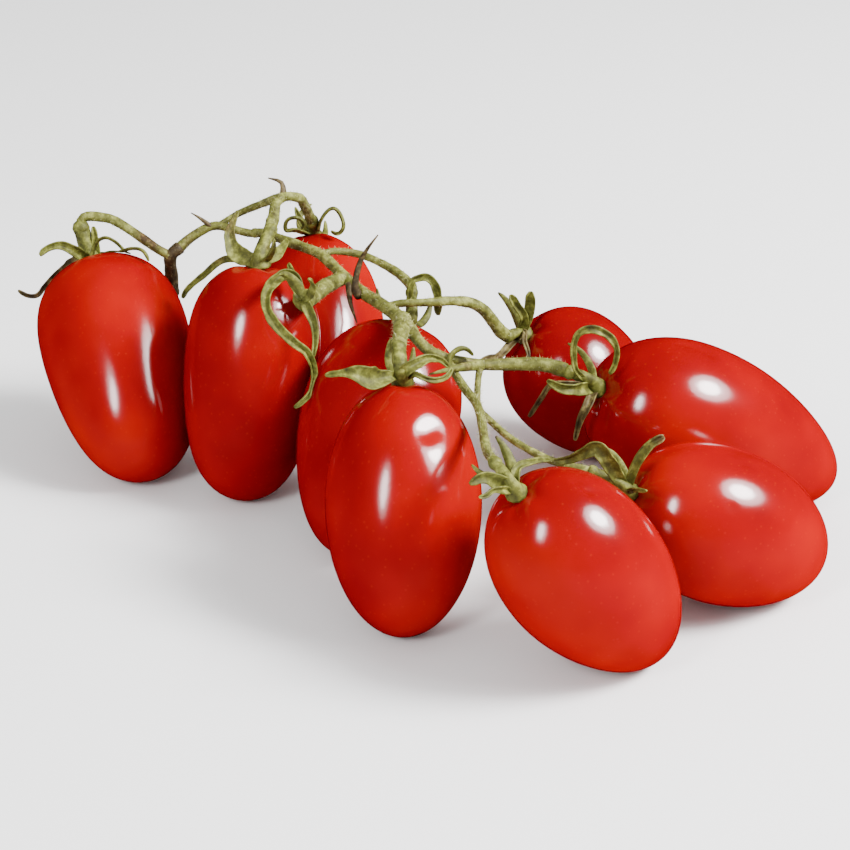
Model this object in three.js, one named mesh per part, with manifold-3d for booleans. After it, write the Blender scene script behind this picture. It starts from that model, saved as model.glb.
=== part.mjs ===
// A truss of nine plum tomatoes lying on a surface, in millimetres, +Z up.
// The cut end of the vine is at the left and back, the lowest fruits are at the front.
import * as THREE from 'three';
import { mergeVertices } from 'three/addons/utils/BufferGeometryUtils.js';
import Module from 'manifold-3d';

const wasm = await Module();
wasm.setup();

// Driving dimensions
const TRUSS_MIDDLE_X = -3.7;
const TRUSS_MIDDLE_Y = -44.7;
const TOUCHING_GAP = 0.3;
const REST_DEPTH = 0.25;
const FRUIT_SEGMENTS = 20;
const FRUIT_RINGS = 13;
const STEM_SIDES = 6;
const SEPAL_STEPS = 5;
const BACK_SEPAL_WIDTHS = [2, 3.2, 2.4, 1.4];
const SEPAL_THICKNESS = 0.9;
const DIMPLE_DEPTH = 1.6;
const DIMPLE_RADIUS = 4.5;
const RECEPTACLE_RADIUS = 2.8;
const RECEPTACLE_HEIGHT = 1.6;

// Each fruit: middle x, y, heading of the blossom end, its dip below level, length, width,
// how much fuller the stem end is, and how square its shoulders are.
const FRUITS = [
  { x: -72, y: -14, heading: -70, dip: 37, length: 58, width: 36, fuller: 0.18, square: 0.25 },
  { x: -40, y: -30, heading: -105, dip: 70, length: 55, width: 31.5, fuller: 0.11, square: 0.23 },
  { x: -26.5, y: 2, heading: -88, dip: 42, length: 56, width: 33.5, fuller: 0.03, square: 0.04 },
  { x: -11.5, y: -48.5, heading: -112, dip: 44, length: 55, width: 35.5, fuller: 0.22, square: 0.05 },
  { x: -4.5, y: -84.5, heading: -90, dip: 58, length: 53, width: 33, fuller: 0.04, square: 0 },
  { x: 32, y: -107, heading: 10, dip: 53, length: 50, width: 33, fuller: 0.11, square: 0 },
  { x: 62.5, y: -81.5, heading: 14, dip: 27, length: 49, width: 33.5, fuller: 0.07, square: 0 },
  { x: 65.5, y: -44.5, heading: 17, dip: 28, length: 67.5, width: 37, fuller: 0.24, square: 0 },
  { x: 39, y: -15.5, heading: 2, dip: 43, length: 44, width: 32.5, fuller: 0.24, square: 0 },
];

// The way from each fruit's stem end up to the knuckle where the fruit would come off, and its radius.
const FRUIT_STALKS = [
  { points: [[-82, 8.3, 43.5], [-83.4, 9.8, 48.6]], radius: 1.9 },
  { points: [[-37.5, -20.5, 54.5], [-35.5, -14.5, 57.5]], radius: 1.5 },
  { points: [[-27.4, 19, 43.8], [-27.8, 14.5, 48.6]], radius: 1.6 },
  { points: [[-3, -32.5, 43.8], [-3, -25, 46.5]], radius: 1.3 },
  { points: [[-5, -74, 50.5], [-5.5, -69, 53]], radius: 1.5 },
  { points: [[16, -110.5, 44.5], [13.5, -105.5, 45.5]], radius: 1.2 },
  { points: [[40, -88.5, 31.5], [34, -87.5, 34]], radius: 1.1 },
  { points: [[36, -54.5, 38.5], [31, -56.5, 41.5]], radius: 1.4 },
  { points: [[21.2, -18.8, 33.6], [19.2, -21.3, 33.9]], radius: 1.3 },
];

// Sepals at the back of each calyx: bearing round the stalk, length, first lift and how far it curls.
const BACK_SEPALS = [
  [[80, 13, 10, 70]],
  [[85, 13, 20, 110], [300, 9, 15, 70]],
  [[75, 12, 15, 80], [150, 13, 25, 150], [235, 10, 10, 50]],
  [[60, 12, 20, 90], [120, 12, 15, 60], [200, 11, 10, 50]],
  [[75, 12, 12, 80], [120, 12, 20, 100]],
  [[80, 12, 15, 70], [130, 11, 12, 50]],
  [[75, 12, 15, 80], [125, 12, 20, 70]],
  [[80, 12, 15, 70], [130, 11, 12, 60]],
  [[80, 12, 25, 60]],
];

// Sepals at the front: widths and places along each one, the widths from its foot, the places after it.
// looks is where the flat side looks; a sepal without it is curled up edge-on.
const FRONT = [0, -0.9, 0.45];
const ABOVE = [0, -0.5, 0.85];
const SHAPED_SEPALS = [
  [
    { looks: FRONT, widths: [2.6, 3.4, 3.6, 3.2, 2.6], points: [[-84.3, 3, 45.1], [-86.9, 2, 46.8],
      [-89.6, 1, 46.7], [-92, 0, 45.3]] },
    { widths: [2.4, 2.2, 1.8, 1.5], points: [[-80, 4, 43.6], [-78.8, 4, 47], [-76.4, 3, 48.7],
      [-73.9, 2, 47.8], [-72.2, 1, 46.4], [-71.2, 0, 45]] },
    { widths: [2.2, 2, 1.8, 1.5], points: [[-77.8, 4, 44], [-75.5, 2, 44.4], [-72.3, 0, 46.4],
      [-69.5, -1, 47.5], [-67.2, -2, 47.4], [-65.6, -3, 45.2]] },
    { looks: FRONT, widths: [2.2, 2, 1.8, 1.5], points: [[-84.2, 11, 40.5], [-89.8, 16, 35.5],
      [-95.2, 18, 29.8], [-97.2, 18, 27.5], [-99.6, 18, 27.4], [-102, 18, 28.8]] },
    { looks: FRONT, widths: [2.6, 2.6, 2], points: [[-80.1, 9, 45.8], [-80.5, 10, 49]] },
  ],
  [
    { looks: FRONT, widths: [3, 4.2, 4.4, 3, 1.8, 1.2], points: [[-40.5, -20.5, 53], [-43.5, -18.5, 54],
      [-44.8, -16, 57], [-44, -14, 59.5], [-43, -12, 61.5]] },
    { looks: FRONT, widths: [2, 1.8, 1.6, 1.4], points: [[-46, -16, 51], [-51.5, -13.5, 46],
      [-55.5, -12, 42], [-57, -12, 39.5]] },
    { looks: FRONT, widths: [3, 3.4, 2.4, 1.4], points: [[-34.5, -18.5, 53], [-33, -15, 53.5],
      [-32, -11, 54]] },
  ],
  [
    { widths: [2.4, 2, 1.8, 1.8, 1.6], points: [[-26, 16, 46], [-25.4, 13, 48.9], [-23.8, 13, 51.5],
      [-22.1, 13, 52.3], [-20.7, 13, 50.5], [-20, 12, 48.3], [-21.2, 12, 46.5], [-23, 12, 47]] },
    { widths: [2.6, 2.4, 2, 1.8], points: [[-31, 8, 49], [-33, 3, 51], [-32.5, 1, 54], [-30.5, 1, 54.5],
      [-29, 2, 53], [-29.5, 3, 51]] },
  ],
  [
    { looks: FRONT, widths: [1.4, 1.4, 1.6, 2.4, 2.8, 2.6], points: [[-3.2, -30, 50.5], [-1.5, -29.5, 52],
      [0.7, -29.5, 52.2], [2.5, -29.5, 50], [3.2, -30, 46.5], [3, -31, 43.5]] },
  ],
  [
    { looks: FRONT, widths: [1.6, 1.6, 2.2, 5, 5.6, 4, 1.6, 1.4], points: [[-6.6, -75, 49.4],
      [-9.2, -77, 49.8], [-11.5, -79, 50.9], [-13.9, -80, 52.3], [-15.9, -80, 52.5], [-18, -80, 52.3],
      [-20.2, -80, 52]] },
    { looks: FRONT, widths: [2.2, 3, 3.4, 3, 2, 1.6], points: [[-4, -75, 50.8], [-1.8, -74, 51.7],
      [0.6, -72, 52], [3.3, -70, 50.7], [5, -70, 49]] },
    { looks: FRONT, widths: [1.8, 1.6, 1.5, 1.5], points: [[-2.2, -76, 50.4], [0, -76.5, 49.7],
      [2, -76, 49], [4.3, -74, 48.8], [5.6, -72, 49.9]] },
  ],
  [
    { looks: FRONT, widths: [3, 3.6, 3, 2], points: [[12.3, -112, 46], [10, -113, 46.4], [8.3, -114, 45.6]]
      },
    { looks: FRONT, widths: [2, 2, 1.6, 1.4], points: [[13, -115.5, 45.2], [11.4, -117.5, 45.1],
      [10, -118.5, 45.3]] },
    { looks: ABOVE, widths: [2.2, 2.2, 1.8, 1.4], points: [[17.5, -107, 45], [20.7, -103.5, 44.6],
      [24.6, -99.5, 43]] },
  ],
  [
    { looks: FRONT, widths: [2.5, 3.4, 4, 4, 3, 1.6], points: [[37.5, -90, 36.5], [35.5, -91.5, 40.3],
      [34, -92, 42], [31.5, -91, 40.3], [28.8, -89, 37.8], [26, -88, 36.8]] },
    { looks: FRONT, widths: [2, 2.2, 2.6, 3], points: [[42.5, -88.5, 36.2], [45, -88.5, 40.5],
      [48, -88, 42.3]] },
    { looks: FRONT, widths: [1.6, 1.5, 1.4], points: [[42, -93.5, 33.2], [44, -97, 34.8]] },
  ],
  [
    { looks: FRONT, widths: [2, 1.4, 1.4, 1.6, 2, 2, 1.6, 1.4], points: [[32.5, -58, 42.3],
      [31.7, -58, 45.6], [31.6, -58, 48.6], [32.4, -58, 51.2], [34.5, -58, 52.3], [36.8, -58, 52],
      [39.5, -57.5, 50], [40.9, -57.5, 47], [40.5, -57.5, 43.5], [39.5, -57.5, 41.5]] },
    { looks: FRONT, widths: [2.6, 2.8, 2.2, 1.4], points: [[35, -59, 35], [33.5, -59.5, 31.5],
      [32.5, -59.5, 26.5]] },
    { looks: FRONT, widths: [1.6, 1.5, 1.5], points: [[31, -58.5, 39.7], [27, -58, 39.2], [25, -57, 35.6],
      [22.5, -56, 30.5]] },
    { looks: FRONT, widths: [2.6, 3.4, 3, 2], points: [[32, -60, 39.2], [29, -61, 40], [26, -60, 41.3]] },
  ],
  [
    { looks: FRONT, widths: [2.4, 2.8, 2.8, 2.6], points: [[23, -17.5, 37], [21.1, -18, 40.2],
      [19.6, -18, 43]] },
    { looks: FRONT, widths: [2.6, 3, 3, 3], points: [[24, -17, 37], [24.6, -17, 40], [24.6, -17, 43.5]] },
    { looks: FRONT, widths: [1.6, 1.4, 1.4], points: [[23.3, -19, 34], [23, -21.5, 33], [23.7, -23.5, 31.3],
      [24, -25, 30]] },
    { looks: FRONT, widths: [2.4, 2.4, 2, 1.4], points: [[20, -21, 32], [18.1, -24, 31], [16.6, -26, 30.7],
      [14.9, -28, 31.5], [12.8, -30, 32]] },
  ],
];

// The vine: peduncle, rachis and the pedicels up to each knuckle, with their radii from start to end.
const VINE_STEMS = [
  { points: [[-62.5, 12, 31], [-62.2, 10, 34], [-61.9, 7.5, 38.6], [-61.3, 4.5, 43.5],
    [-59.1, 5.5, 45.4]], radii: [1.6, 1.5] },
  { points: [[-61.3, 4.5, 43.5], [-59.1, 5.5, 45.4], [-56.8, 7, 47.1], [-53.2, 8.5, 48.9],
    [-50.1, 9, 49.5], [-45.7, 8, 48.8], [-42.2, 7, 48.4], [-38.5, 6, 48.8]], radii: [1.3, 0.9] },
  { points: [[-41, 6.8, 48.5], [-38.5, 6, 48.8], [-36, 2, 49.5], [-29.5, -4, 49.5], [-24.5, -8, 49],
    [-19.5, -14, 46.7], [-14, -23, 45.5], [-9, -34, 47], [-5, -46, 49], [-3, -53, 49.5]],
    radii: [1.1, 1.65] },
  { points: [[-5, -46, 49], [-3, -53, 49.5], [0, -57, 47.5], [4.5, -58, 45.5], [12, -56, 43]],
    radii: [1.3, 1.2] },
  { points: [[-61.3, 4.5, 43.5], [-64.5, 5.5, 44.9], [-68.9, 7.5, 47.2], [-75.1, 10, 50.4],
    [-78.7, 10.6, 51.2], [-81.7, 10.8, 51.3], [-83.3, 10.5, 50.6], [-83.5, 10.2, 49.3]],
    radii: [1.1, 1.2] },
  { points: [[-50.1, 9, 49.5], [-45, 11, 52], [-39, 4, 57], [-33, -4.5, 62], [-29.5, -1.5, 60.5],
    [-28.8, 4, 57], [-28.3, 10, 52.6], [-28, 13.7, 49.4]], radii: [0.75, 1.35] },
  { points: [[-33, -4.5, 62], [-34.5, -7, 61.5], [-35, -11, 59.5], [-35.4, -14, 58.1]], radii: [1.1, 1.5]
    },
  { points: [[-24.5, -8, 49], [-21, -6, 49], [-14.5, -5, 47.5], [-7.5, -11.5, 46.5], [-3.5, -20, 46.6],
    [-3, -24.3, 46.6]], radii: [0.75, 1.3] },
  { points: [[-5, -46, 49], [-5, -58, 52.5], [-5.4, -68.2, 53.3]], radii: [1.9, 1.6] },
  { points: [[-9, -34, 47], [-5.6, -34.5, 48], [-2, -34.3, 48.1], [1.8, -33, 47.7], [5.6, -31, 47.1],
    [10.2, -28, 45.3], [13.2, -26, 42.9], [15.4, -24.5, 39.5], [17.3, -23, 36.1], [18.4, -22, 34.7]],
    radii: [0.75, 1.6] },
  { points: [[12, -56, 43], [19, -54.5, 42.5], [26, -55, 42.5], [30.3, -56.3, 41.9]], radii: [1.2, 1.6] },
  { points: [[4.5, -58, 45.5], [6.5, -62, 43.7], [8.5, -68, 43], [11, -76, 42.5], [12, -96, 44],
    [13.3, -104.8, 45.5]], radii: [0.9, 1] },
  { points: [[12, -56, 43], [11.3, -60, 41.5], [11.2, -67, 38.6], [13, -70.5, 37.6], [18, -79, 36.8],
    [25.5, -85.3, 35.5], [33.2, -87.4, 34.2]], radii: [0.7, 0.8] },
];

// Shoots that run out to a thin tip.
const VINE_TIPS = [
  { points: [[-51.5, 8.7, 49.2], [-54, 8, 51.7], [-56.3, 7.8, 53.3]], radius: 0.8 },
  { points: [[-33, -4.5, 62], [-33.5, -3, 65], [-36.6, -2.8, 66]], radius: 0.9 },
  { points: [[-15, -24, 45.3], [-15.9, -24.5, 47], [-15.7, -24, 49.8], [-14.7, -23, 53.2],
    [-12.9, -23, 56.6], [-10.6, -23, 59.8]], radius: 1.1 },
  { points: [[-17.5, -19, 46], [-17.1, -24, 43.8], [-16.4, -27, 42.8], [-15.4, -30, 41.2]], radius: 0.9 },
  { points: [[12, -56, 43], [6.3, -63, 45.5], [1, -70, 47.5]], radius: 1.3 },
];

// The dry calyx of a fruit that never set, lying over the second fruit's shoulder.
const EMPTY_CALYX = {
  stalk: [[-18.5, -15.5, 46.5], [-20.6, -18, 46.5], [-22.8, -24, 47.5], [-25, -30, 47.9], [-27, -36, 49.5]],
  facing: [-0.55, -0.6, 0.55],
  back: [[20, 9, 20, 60], [100, 10, 30, 90]],
  shaped: [
    { looks: FRONT, widths: [3, 3.4, 3, 2.8, 3.2, 2.6, 2.4, 2], points: [[-30, -32.5, 54],
      [-33.7, -36, 53.5], [-35, -41, 51.5], [-33, -46, 48.5], [-28.8, -48.5, 44.9], [-25.8, -48, 42],
      [-24.4, -47.5, 37.5], [-25, -50, 33.8], [-27.3, -54, 32.8], [-28.5, -55, 32.3]] },
    { looks: FRONT, widths: [1.8, 1.5], points: [[-28.7, -33, 53], [-30.6, -28, 55]] },
    { looks: FRONT, widths: [2.5, 3, 2.2, 1.4], points: [[-24.5, -40, 46], [-24, -42, 42.6],
      [-24.5, -44.5, 39.5]] },
  ],
};

// A leaf curled up in the fork where the stems to the right-hand fruits part.
const FORK_LEAF_FOOT = [9, -58.5, 43.5];
const FORK_LEAF = { widths: [2.5, 3, 2.6, 1.6], points: [[6, -60.5, 45], [5.3, -61, 46.4], [6.5, -60, 47.8],
  [8.5, -59, 48], [10.2, -58, 46.2]] };

const RED = new THREE.MeshStandardMaterial({ color: 0xc8170a, roughness: 0.22, metalness: 0 });
const GREEN = new THREE.MeshStandardMaterial({ color: 0x7d8447, roughness: 0.7, metalness: 0 });
const DEGREE = Math.PI / 180;

function vector(point) {
  return new THREE.Vector3(point[0], point[1], point[2]);
}

// A closed three.js geometry as a solid that can be joined and cut.
function solid(geometry) {
  const bare = geometry.index ? geometry.toNonIndexed() : geometry;
  bare.deleteAttribute('normal');
  bare.deleteAttribute('uv');
  const merged = mergeVertices(bare, 1e-5);
  const vertProperties = new Float32Array(merged.attributes.position.array);
  const triVerts = new Uint32Array(merged.index.array);
  return new wasm.Manifold(new wasm.Mesh({ numProp: 3, vertProperties, triVerts }));
}

// The biggest body of a cut solid, without the scraps that a cut leaves.
function mainBody(cutSolid) {
  const bodies = cutSolid.decompose();
  return bodies.reduce((best, body) => (body.volume() > best.volume() ? body : best));
}

function namedMesh(name, shape, material) {
  const { vertProperties, triVerts } = shape.getMesh();
  const geometry = new THREE.BufferGeometry();
  geometry.setAttribute('position', new THREE.BufferAttribute(new Float32Array(vertProperties), 3));
  geometry.setIndex(new THREE.BufferAttribute(new Uint32Array(triVerts), 1));
  geometry.computeVertexNormals();
  const mesh = new THREE.Mesh(geometry, material);
  mesh.name = name;
  return mesh;
}

// The direction from a fruit's middle to its stem end.
function stemDirection(fruit) {
  const heading = fruit.heading * DEGREE;
  const dip = fruit.dip * DEGREE;
  return new THREE.Vector3(
    -Math.cos(dip) * Math.cos(heading), -Math.cos(dip) * Math.sin(heading), Math.sin(dip));
}

// The radius of a fruit, as a share of its width, from -1 at the blossom to +1 at the stem.
function fruitProfile(fruit, along) {
  const round = Math.sqrt(Math.max(1 - along * along, 0));
  return round * (1 + fruit.fuller * along + fruit.square * along * along);
}

function fruitGeometry(fruit, grow) {
  let widest = 0;
  for (let along = -0.95; along < 0.96; along += 0.05) {
    widest = Math.max(widest, fruitProfile(fruit, along));
  }
  const halfLength = fruit.length / 2 + grow;
  const halfWidth = fruit.width / 2 + grow;
  const profile = [];
  for (let ring = 0; ring <= FRUIT_RINGS; ring += 1) {
    const along = -Math.cos((Math.PI * ring) / FRUIT_RINGS);
    const radius = (halfWidth * fruitProfile(fruit, along)) / widest;
    const nearStem = along > 0 ? Math.exp(-((radius / DIMPLE_RADIUS) ** 2)) : 0;
    const onAxis = ring === 0 || ring === FRUIT_RINGS;
    profile.push(new THREE.Vector2(onAxis ? 0 : radius, halfLength * along - DIMPLE_DEPTH * nearStem));
  }
  const geometry = new THREE.LatheGeometry(profile, FRUIT_SEGMENTS);
  const upward = stemDirection(fruit);
  const sideways = new THREE.Vector3(0, 0, 1).cross(upward).normalize();
  const third = sideways.clone().cross(upward);
  geometry.applyMatrix4(new THREE.Matrix4().makeBasis(sideways, upward, third));
  geometry.computeBoundingBox();
  return geometry;
}

// A fruit rests on a small flat spot, so its height follows from its shape.
function fruitHeight(fruit) {
  return -fruitGeometry(fruit, 0).boundingBox.min.z - REST_DEPTH;
}

function fruitSolid(fruit, grow) {
  return solid(fruitGeometry(fruit, grow).translate(fruit.x, fruit.y, fruitHeight(fruit)));
}

// A rod bent along a curve: a cylinder whose rings are moved onto it.
// across gives a blade's wide direction from its tangent, and is null for a round stem.
function bentRod(points, halfWidth, halfThickness, steps, sides, across) {
  const curve = new THREE.CatmullRomCurve3(points.map(vector), false, 'centripetal');
  const geometry = new THREE.CylinderGeometry(1, 1, 1, sides, steps);
  const position = geometry.attributes.position;
  const round = across === null ? curve.computeFrenetFrames(steps, false) : null;
  for (let i = 0; i < position.count; i += 1) {
    const along = position.getY(i) + 0.5;
    const centre = curve.getPointAt(along);
    const tangent = curve.getTangentAt(along);
    const wide = across === null
      ? round.normals[Math.round(along * steps)].clone()
      : across(tangent);
    const thick = wide.clone().cross(tangent);
    centre.addScaledVector(wide, position.getX(i) * halfWidth(along));
    centre.addScaledVector(thick, position.getZ(i) * halfThickness(along));
    position.setXYZ(i, centre.x, centre.y, centre.z);
  }
  return geometry;
}

function stemRod(points, [first, last], grow) {
  const steps = 2 * (points.length - 1);
  const size = (along) => first + (last - first) * along + grow;
  return solid(bentRod(points, size, size, steps, STEM_SIDES, null));
}

function tipRod(points, radius, grow) {
  const steps = 2 * (points.length - 1);
  const size = (along) => radius * (1 - 0.65 * along) + grow;
  return solid(bentRod(points, size, size, steps, STEM_SIDES, null));
}

// A swelling on a stem, such as the knuckle of a stalk.
function knuckle(point, radius, grow) {
  const geometry = new THREE.IcosahedronGeometry(radius + grow, 1);
  return solid(geometry.translate(point[0], point[1], point[2]));
}

// Two directions square to the stalk, the first as near as can be to the right.
function aroundStalk(facing) {
  const right = new THREE.Vector3(1, 0, 0).addScaledVector(facing, -facing.x).normalize();
  return { right, back: facing.clone().cross(right) };
}

function squareTo(tangent, direction) {
  return direction.clone().addScaledVector(tangent, -direction.dot(tangent)).normalize();
}

// A sepal that runs out from the calyx and curls up and back towards the stalk.
function backSepal(base, facing, [bearing, length, lift, curl], grow) {
  const { right, back } = aroundStalk(facing);
  const outward = right.clone().multiplyScalar(Math.cos(bearing * DEGREE));
  outward.addScaledVector(back, Math.sin(bearing * DEGREE));
  const sideways = facing.clone().cross(outward);
  const place = base.clone();
  const points = [place.toArray()];
  for (let step = 0; step < SEPAL_STEPS; step += 1) {
    const turn = (lift + curl * ((step + 0.5) / SEPAL_STEPS) ** 1.5) * DEGREE;
    place.addScaledVector(outward, (Math.cos(turn) * length) / SEPAL_STEPS);
    place.addScaledVector(facing, (Math.sin(turn) * length) / SEPAL_STEPS);
    points.push(place.toArray());
  }
  return blade(points, BACK_SEPAL_WIDTHS, SEPAL_STEPS, (tangent) => squareTo(tangent, sideways), grow);
}

function shapedSepal(foot, { looks, widths, points }, grow) {
  const across = looks
    ? (tangent) => tangent.clone().cross(vector(looks)).normalize()
    : (tangent) => squareTo(tangent, vector(FRONT));
  const steps = Math.max(4, Math.round(1.4 * points.length));
  return blade([foot.toArray(), ...points], widths, steps, across, grow);
}

function blade(points, widths, steps, across, grow) {
  const halfWidth = (along) => {
    const k = Math.min(Math.floor(along * (widths.length - 1)), widths.length - 2);
    const share = along * (widths.length - 1) - k;
    return (widths[k] + (widths[k + 1] - widths[k]) * share) / 2 + grow;
  };
  const halfThickness = () => SEPAL_THICKNESS / 2 + grow;
  return solid(bentRod(points, halfWidth, halfThickness, steps, 4, across));
}

function receptacle(base, facing, grow) {
  const profile = [
    new THREE.Vector2(0, -RECEPTACLE_HEIGHT - grow),
    new THREE.Vector2(RECEPTACLE_RADIUS + grow, 0),
    new THREE.Vector2(0, RECEPTACLE_HEIGHT + grow),
  ];
  const geometry = new THREE.LatheGeometry(profile, 8);
  geometry.applyQuaternion(new THREE.Quaternion().setFromUnitVectors(new THREE.Vector3(0, 1, 0), facing));
  return solid(geometry.translate(base.x, base.y, base.z));
}

// Where a fruit's calyx sits: in the dimple at its stem end.
function calyxBase(fruit) {
  const middle = new THREE.Vector3(fruit.x, fruit.y, fruitHeight(fruit));
  return middle.addScaledVector(stemDirection(fruit), fruit.length / 2 + 0.4);
}

function calyx(index, grow) {
  const fruit = FRUITS[index];
  const facing = stemDirection(fruit);
  const base = calyxBase(fruit);
  const { points, radius } = FRUIT_STALKS[index];
  const parts = [
    receptacle(base, facing, grow),
    stemRod([base.toArray(), ...points], [radius, radius], grow),
    knuckle(points[0], radius + 0.4, grow),
    ...BACK_SEPALS[index].map((row) => backSepal(base, facing, row, grow)),
    ...SHAPED_SEPALS[index].map((row) => shapedSepal(base, row, grow)),
  ];
  return wasm.Manifold.union(parts);
}

function emptyCalyx(grow) {
  const stalk = EMPTY_CALYX.stalk;
  const facing = vector(EMPTY_CALYX.facing).normalize();
  const base = vector(stalk[stalk.length - 1]);
  const parts = [
    receptacle(base, facing, grow),
    stemRod(stalk, [1.7, 1.7], grow),
    ...EMPTY_CALYX.back.map((row) => backSepal(base, facing, row, grow)),
    ...EMPTY_CALYX.shaped.map((row) => shapedSepal(base, row, grow)),
  ];
  return wasm.Manifold.union(parts);
}

function vine() {
  const parts = [
    ...VINE_STEMS.map(({ points, radii }) => stemRod(points, radii, 0)),
    ...VINE_TIPS.map(({ points, radius }) => tipRod(points, radius, 0)),
    ...VINE_STEMS.map(({ points, radii }) => knuckle(points[0], radii[0] + 0.3, 0)),
    emptyCalyx(0),
    shapedSepal(vector(FORK_LEAF_FOOT), FORK_LEAF, 0),
  ];
  return wasm.Manifold.union(parts);
}

// The surface that the fruits rest on, as a slab that trims a flat spot under each.
const SLAB_SIZE = 400;
const slab = solid(new THREE.BoxGeometry(SLAB_SIZE, SLAB_SIZE, SLAB_SIZE).translate(0, 0, -SLAB_SIZE / 2));

const roomForFruits = wasm.Manifold.union(FRUITS.map((fruit) => fruitSolid(fruit, TOUCHING_GAP)));
const truss = new THREE.Group();

FRUITS.forEach((fruit, index) => {
  truss.add(namedMesh(`tomato_${index + 1}`, fruitSolid(fruit, 0).subtract(slab), RED));
});

let taken = roomForFruits;
FRUITS.forEach((fruit, index) => {
  truss.add(namedMesh(`calyx_${index + 1}`, mainBody(calyx(index, 0).subtract(taken)), GREEN));
  taken = taken.add(calyx(index, TOUCHING_GAP));
});

truss.add(namedMesh('vine', mainBody(vine().subtract(taken)), GREEN));
truss.position.set(-TRUSS_MIDDLE_X, -TRUSS_MIDDLE_Y, 0);

export default truss;
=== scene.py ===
"""A truss of nine plum tomatoes on a pale floor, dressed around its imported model. Metres, +Z up."""

import math
import random

import bmesh
import bpy
from mathutils import Matrix, Quaternion, Vector, noise


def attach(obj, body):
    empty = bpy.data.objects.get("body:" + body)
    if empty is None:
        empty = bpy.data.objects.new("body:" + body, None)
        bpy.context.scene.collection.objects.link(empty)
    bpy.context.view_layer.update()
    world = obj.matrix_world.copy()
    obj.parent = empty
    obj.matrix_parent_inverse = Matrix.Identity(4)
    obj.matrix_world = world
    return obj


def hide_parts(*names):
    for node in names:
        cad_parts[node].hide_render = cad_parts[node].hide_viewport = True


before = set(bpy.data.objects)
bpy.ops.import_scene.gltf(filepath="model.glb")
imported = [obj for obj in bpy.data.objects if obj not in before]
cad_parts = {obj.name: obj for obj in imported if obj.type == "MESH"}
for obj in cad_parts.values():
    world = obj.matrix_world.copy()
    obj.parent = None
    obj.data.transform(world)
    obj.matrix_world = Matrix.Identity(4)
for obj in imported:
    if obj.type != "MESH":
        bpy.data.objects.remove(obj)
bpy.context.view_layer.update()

MM = 0.001
UP = Vector((0, 0, 1))
TRUSS_MIDDLE = Vector((-3.7, -44.7, 0))
SEED = 20

# The fruits, in millimetres and degrees: middle x, y, heading of the blossom end, its dip
# below level, length, width, how much fuller the stem end is, how square its shoulders are.
FRUITS = [
    dict(x=-72, y=-14, heading=-70, dip=37, length=58, width=36, fuller=0.18, square=0.25),
    dict(x=-40, y=-30, heading=-105, dip=70, length=55, width=31.5, fuller=0.11, square=0.23),
    dict(x=-26.5, y=2, heading=-88, dip=42, length=56, width=33.5, fuller=0.03, square=0.04),
    dict(x=-11.5, y=-48.5, heading=-112, dip=44, length=55, width=35.5, fuller=0.22, square=0.05),
    dict(x=-4.5, y=-84.5, heading=-90, dip=58, length=53, width=33, fuller=0.04, square=0),
    dict(x=32, y=-107, heading=10, dip=53, length=50, width=33, fuller=0.11, square=0),
    dict(x=62.5, y=-81.5, heading=14, dip=27, length=49, width=33.5, fuller=0.07, square=0),
    dict(x=65.5, y=-44.5, heading=17, dip=28, length=67.5, width=37, fuller=0.24, square=0),
    dict(x=39, y=-15.5, heading=2, dip=43, length=44, width=32.5, fuller=0.24, square=0),
]
FRUIT_RINGS = 84
FRUIT_SEGMENTS = 120
LOBE_ROOM = 0.014
DIMPLE_DEPTH = 1.6
DIMPLE_RADIUS = 4.5
REST_DEPTH = 0.25

# Dents and creases by fruit number: where each starts and ends, its half width and its depth.
DENTS = {
    5: [((0.6, -87.6, 43.2), (1.6, -86.6, 43.4), 2.8, 0.75)],
    6: [
        ((39.7, -120.4, 27.7), (44.6, -116.1, 26.8), 0.8, 0.22),
        ((28.8, -110, 43.8), (31.1, -111.7, 42.8), 0.9, 0.3),
        ((31.1, -111.7, 42.8), (34.2, -110.3, 41.8), 0.9, 0.3),
    ],
    7: [
        ((63.3, -86.3, 35.3), (68.6, -84.3, 33.4), 0.9, 0.25),
        ((61.3, -95.3, 30), (61.6, -95.3, 30), 0.9, 0.15),
    ],
    8: [
        ((58.7, -48.2, 43.8), (61.8, -49.5, 42.7), 1.8, 0.35),
        ((55.4, -48, 44.4), (56, -48, 44.4), 1.5, 0.3),
    ],
}

# From each fruit's stem end up to the knuckle of its stalk, and the stalk's radius.
FRUIT_STALKS = [
    ([(-82, 8.3, 43.5), (-83.4, 9.8, 48.6)], 1.9),
    ([(-37.5, -20.5, 54.5), (-35.5, -14.5, 57.5)], 1.5),
    ([(-27.4, 19, 43.8), (-27.8, 14.5, 48.6)], 1.6),
    ([(-3, -32.5, 43.8), (-3, -25, 46.5)], 1.3),
    ([(-5, -74, 50.5), (-5.5, -69, 53)], 1.5),
    ([(16, -110.5, 44.5), (13.5, -105.5, 45.5)], 1.2),
    ([(40, -88.5, 31.5), (34, -87.5, 34)], 1.1),
    ([(36, -54.5, 38.5), (31, -56.5, 41.5)], 1.4),
    ([(21.2, -18.8, 33.6), (19.2, -21.3, 33.9)], 1.3),
]

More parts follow.
